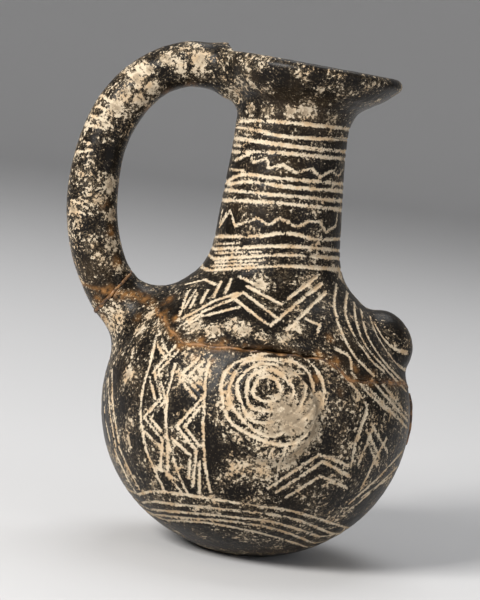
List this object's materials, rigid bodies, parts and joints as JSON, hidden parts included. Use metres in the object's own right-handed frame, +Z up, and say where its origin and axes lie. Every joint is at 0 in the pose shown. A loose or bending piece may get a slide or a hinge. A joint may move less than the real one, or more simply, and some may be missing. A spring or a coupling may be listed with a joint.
{
  "type": "pottery juglet",
  "caption": "Small hand-built round-bodied pouring jug with a tapering neck, flared mouth, looped coil handle, side knob and incised lime-filled bands.",
  "frame": {"origin": "centre of the small flattened spot that the round body rests on, on the neck's axis", "axes": "+Z up along the neck's axis, -X towards the handle, +X towards the knob and the pouring side, -Y towards the boss on the front"},
  "size_m": [0.0981, 0.0841, 0.1323],
  "materials": {
    "black_slip": "hand-polished black slip, worn to grey and brown, with cream lime in the incisions",
    "limed_clay": "the same slip under a heavy matt crust of lime",
    "mend_adhesive": "old orange-brown restorer's fill, satin"
  },
  "bodies": {
    "root": {"belly_bowl": "black_slip", "shoulder_dome": "black_slip", "neck_tube": "black_slip", "mouth_funnel": "black_slip", "loop_handle": "black_slip", "handle_root": "black_slip", "side_knob": "black_slip", "front_boss": "limed_clay", "handle_luting": "limed_clay", "body_mend": "mend_adhesive", "handle_mend": "mend_adhesive"}
  },
  "joints": []
}
